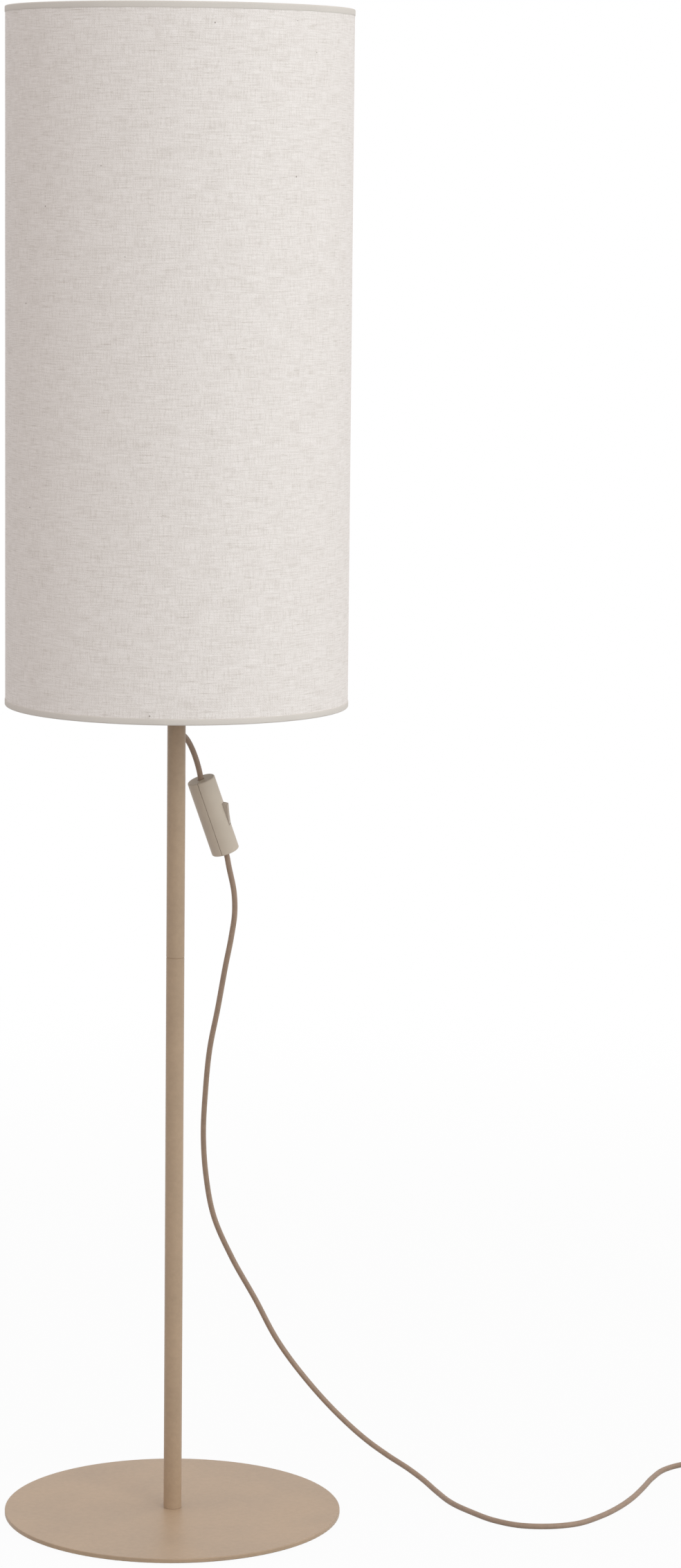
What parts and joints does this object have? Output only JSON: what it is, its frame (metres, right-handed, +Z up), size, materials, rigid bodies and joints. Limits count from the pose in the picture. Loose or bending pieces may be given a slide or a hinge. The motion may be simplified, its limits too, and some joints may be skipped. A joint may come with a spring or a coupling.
{
  "type": "column floor lamp",
  "caption": "Floor lamp with a tall straight cylindrical fabric shade on a slim pole with a flat round foot, and a lead with an in-line rocker switch and a flat plug.",
  "frame": {"origin": "on the floor, under the pole, at the middle of the round foot", "axes": "+Z up along the pole, +X to the right and -Y towards the viewer of the picture; the lead leaves the pole to the right and rear and runs to the right along the floor"},
  "size_m": [0.7318, 0.303, 1.3302],
  "materials": {
    "powder_coat": "satin-matt beige powder coat",
    "felt": "felt",
    "zinc_steel": "zinc plated",
    "grommet": "soft matt",
    "cord": "smooth plastic sheath",
    "moulded": "moulded",
    "contacts": "plain",
    "shade_wire": "white coated wire",
    "liner": "stiff matt foil",
    "linen": "slub linen weave",
    "trim": "folded tape",
    "bulb_metal": "nickel plated",
    "bulb_black": "insulator",
    "bulb_white": "housing",
    "bulb_opal": "opal diffuser",
    "switch_shell": "satin moulded",
    "tie": "flat strap",
    "sleeve": "pin sleeve",
    "pins": "nickel plated"
  },
  "bodies": {
    "lamp": {"base_plate": "powder_coat", "felt_pads": "felt", "foot_screw": "zinc_steel", "foot_insert": "zinc_steel", "lower_pole": "powder_coat", "joint_socket": "zinc_steel", "joint_stud": "zinc_steel", "upper_pole": "powder_coat", "head_insert": "zinc_steel", "cord_grommet": "grommet", "inner_cord": "cord", "holder_nipple": "zinc_steel", "holder_cap": "powder_coat", "holder_core": "moulded", "holder_terminals": "contacts", "holder_wires": "moulded", "holder_body": "powder_coat", "screw_shell": "contacts", "centre_contact": "contacts", "shade_ring_nut": "powder_coat", "fitter_ring": "shade_wire", "shade_arms": "shade_wire", "top_ring": "shade_wire", "bottom_ring": "shade_wire", "shade_liner": "liner", "shade_fabric": "linen", "top_trim": "trim", "bottom_trim": "trim", "feed_cord": "cord", "switch_front": "switch_shell", "switch_back": "switch_shell", "rocker_pin": "zinc_steel", "switch_carrier": "moulded", "switch_contacts": "contacts", "switch_wires": "contacts", "switch_screws": "zinc_steel", "mains_cord": "cord", "cord_coil": "cord", "coil_tie": "tie", "cord_tail": "cord", "plug_relief": "switch_shell", "plug_body": "switch_shell", "plug_sleeves": "sleeve", "plug_pins": "pins"},
    "rocker": {"switch_rocker": "switch_shell", "rocker_contact": "contacts"},
    "bulb": {"bulb_contact": "bulb_metal", "bulb_insulator": "bulb_black", "bulb_cap": "bulb_metal", "bulb_housing": "bulb_white", "bulb_globe": "bulb_opal"}
  },
  "joints": [
    {"name": "rocker", "type": "hinge", "parent": "lamp", "child": "rocker", "pos_m": [0.04202, 0.0386, 0.62812], "axis": [-0.2373, -0.9434, -0.2319], "range_deg": [0, 25]},
    {"name": "bulb_lift", "type": "slide", "parent": "lamp", "child": "bulb", "axis": [0, 0, 1], "range_m": [0, 0.4]}
  ]
}
